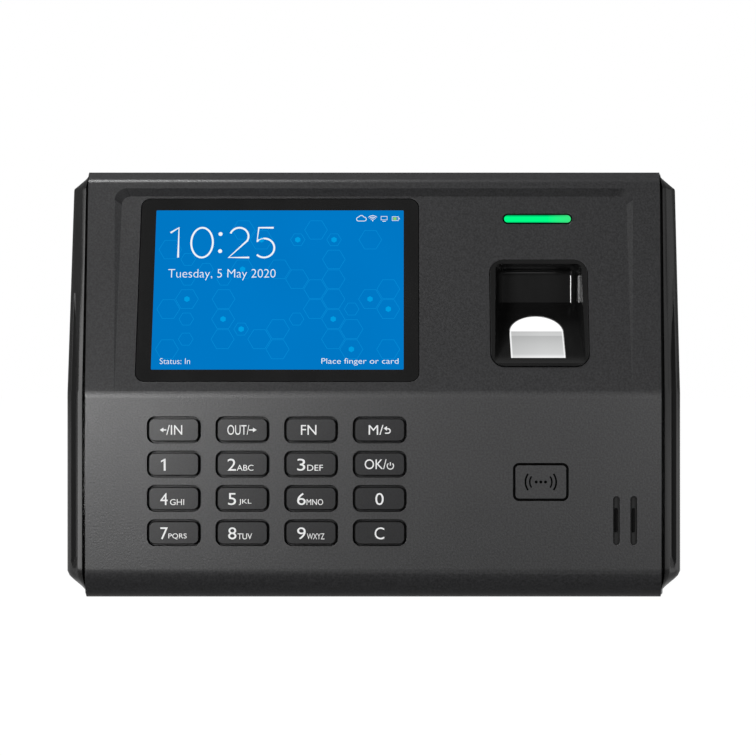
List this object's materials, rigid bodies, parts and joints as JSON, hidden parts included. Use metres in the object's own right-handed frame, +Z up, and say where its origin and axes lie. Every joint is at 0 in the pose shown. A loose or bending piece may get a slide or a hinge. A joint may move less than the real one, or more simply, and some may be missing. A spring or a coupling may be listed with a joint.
{
  "type": "fingerprint scanner terminal",
  "caption": "Wall-held terminal with a display and finger recess on a sloping upper panel, and a keypad, card reader and speaker below.",
  "frame": {"origin": "centre of the wall plate's screw holes, on the plate's back face, which lies on the wall", "axes": "+Y into the wall, so the front faces -Y; +Z up; +X to the right as seen from the front"},
  "size_m": [0.182, 0.0408, 0.1256],
  "materials": {
    "case_grey": "finely textured dark grey plastic",
    "back_black": "matt black plastic",
    "trim_gloss": "glossy black plastic",
    "dark_glass": "dark display glass, polished",
    "screen": "lit display module",
    "thin_steel": "bare sheet steel",
    "bezel_gloss": "glossy black plastic",
    "sensor_glass": "pale optical glass",
    "inner_black": "matt black plastic",
    "green_light": "lit translucent green plastic",
    "led_white": "small light sources",
    "board_green": "coated circuit board",
    "cell_metal": "bright metal",
    "socket_metal": "plated sheet metal",
    "terminal_green": "green plastic",
    "plunger_white": "white plastic",
    "speaker_black": "black lacquered metal",
    "ribbon_white": "white flat cable",
    "plate_steel": "zinc-plated sheet steel",
    "screw_steel": "plated steel",
    "key_grey": "soft-touch dark grey plastic"
  },
  "bodies": {
    "terminal": {"front_cover": "case_grey", "rear_cover": "back_black", "side_trim_left": "trim_gloss", "side_trim_right": "trim_gloss", "display_glass": "dark_glass", "lcd_module": "screen", "lcd_retainer": "thin_steel", "sensor_bezel": "bezel_gloss", "sensor_window": "sensor_glass", "sensor_module": "inner_black", "status_light_pipe": "green_light", "status_leds": "led_white", "status_light_board": "board_green", "keypad_board": "board_green", "key_switches": "inner_black", "main_board": "board_green", "main_chips": "inner_black", "cell_holder": "inner_black", "clock_cell": "cell_metal", "lan_socket": "socket_metal", "usb_socket": "socket_metal", "wiring_terminals": "terminal_green", "tamper_switch": "inner_black", "speaker": "speaker_black", "card_antenna": "board_green", "ribbon_sockets": "ribbon_white", "display_ribbon": "ribbon_white", "keypad_ribbon": "ribbon_white", "sensor_ribbon": "ribbon_white", "wall_plate": "plate_steel", "lock_screw": "screw_steel", "cover_screws": "screw_steel", "panel_screws": "screw_steel", "keypad_screws": "screw_steel", "main_screws": "screw_steel"},
    "key_in": {"key_in": "key_grey"},
    "key_out": {"key_out": "key_grey"},
    "key_fn": {"key_fn": "key_grey"},
    "key_menu": {"key_menu": "key_grey"},
    "key_1": {"key_1": "key_grey"},
    "key_2": {"key_2": "key_grey"},
    "key_3": {"key_3": "key_grey"},
    "key_ok": {"key_ok": "key_grey"},
    "key_4": {"key_4": "key_grey"},
    "key_5": {"key_5": "key_grey"},
    "key_6": {"key_6": "key_grey"},
    "key_0": {"key_0": "key_grey"},
    "key_7": {"key_7": "key_grey"},
    "key_8": {"key_8": "key_grey"},
    "key_9": {"key_9": "key_grey"},
    "key_clear": {"key_clear": "key_grey"},
    "tamper_plunger": {"tamper_plunger": "plunger_white"}
  },
  "joints": [
    {"name": "key_in_press", "type": "slide", "parent": "terminal", "child": "key_in", "axis": [0, 1, 0], "range_m": [0, 0.0009], "stiffness_N_per_m": 800, "springref_m": -0.0005},
    {"name": "key_out_press", "type": "slide", "parent": "terminal", "child": "key_out", "axis": [0, 1, 0], "range_m": [0, 0.0009], "stiffness_N_per_m": 800, "springref_m": -0.0005},
    {"name": "key_fn_press", "type": "slide", "parent": "terminal", "child": "key_fn", "axis": [0, 1, 0], "range_m": [0, 0.0009], "stiffness_N_per_m": 800, "springref_m": -0.0005},
    {"name": "key_menu_press", "type": "slide", "parent": "terminal", "child": "key_menu", "axis": [0, 1, 0], "range_m": [0, 0.0009], "stiffness_N_per_m": 800, "springref_m": -0.0005},
    {"name": "key_1_press", "type": "slide", "parent": "terminal", "child": "key_1", "axis": [0, 1, 0], "range_m": [0, 0.0009], "stiffness_N_per_m": 800, "springref_m": -0.0005},
    {"name": "key_2_press", "type": "slide", "parent": "terminal", "child": "key_2", "axis": [0, 1, 0], "range_m": [0, 0.0009], "stiffness_N_per_m": 800, "springref_m": -0.0005},
    {"name": "key_3_press", "type": "slide", "parent": "terminal", "child": "key_3", "axis": [0, 1, 0], "range_m": [0, 0.0009], "stiffness_N_per_m": 800, "springref_m": -0.0005},
    {"name": "key_ok_press", "type": "slide", "parent": "terminal", "child": "key_ok", "axis": [0, 1, 0], "range_m": [0, 0.0009], "stiffness_N_per_m": 800, "springref_m": -0.0005},
    {"name": "key_4_press", "type": "slide", "parent": "terminal", "child": "key_4", "axis": [0, 1, 0], "range_m": [0, 0.0009], "stiffness_N_per_m": 800, "springref_m": -0.0005},
    {"name": "key_5_press", "type": "slide", "parent": "terminal", "child": "key_5", "axis": [0, 1, 0], "range_m": [0, 0.0009], "stiffness_N_per_m": 800, "springref_m": -0.0005},
    {"name": "key_6_press", "type": "slide", "parent": "terminal", "child": "key_6", "axis": [0, 1, 0], "range_m": [0, 0.0009], "stiffness_N_per_m": 800, "springref_m": -0.0005},
    {"name": "key_0_press", "type": "slide", "parent": "terminal", "child": "key_0", "axis": [0, 1, 0], "range_m": [0, 0.0009], "stiffness_N_per_m": 800, "springref_m": -0.0005},
    {"name": "key_7_press", "type": "slide", "parent": "terminal", "child": "key_7", "axis": [0, 1, 0], "range_m": [0, 0.0009], "stiffness_N_per_m": 800, "springref_m": -0.0005},
    {"name": "key_8_press", "type": "slide", "parent": "terminal", "child": "key_8", "axis": [0, 1, 0], "range_m": [0, 0.0009], "stiffness_N_per_m": 800, "springref_m": -0.0005},
    {"name": "key_9_press", "type": "slide", "parent": "terminal", "child": "key_9", "axis": [0, 1, 0], "range_m": [0, 0.0009], "stiffness_N_per_m": 800, "springref_m": -0.0005},
    {"name": "key_clear_press", "type": "slide", "parent": "terminal", "child": "key_clear", "axis": [0, 1, 0], "range_m": [0, 0.0009], "stiffness_N_per_m": 800, "springref_m": -0.0005},
    {"name": "tamper_plunger_press", "type": "slide", "parent": "terminal", "child": "tamper_plunger", "axis": [0, -1, 0], "range_m": [0, 0.0006], "stiffness_N_per_m": 200, "springref_m": -0.0012}
  ]
}
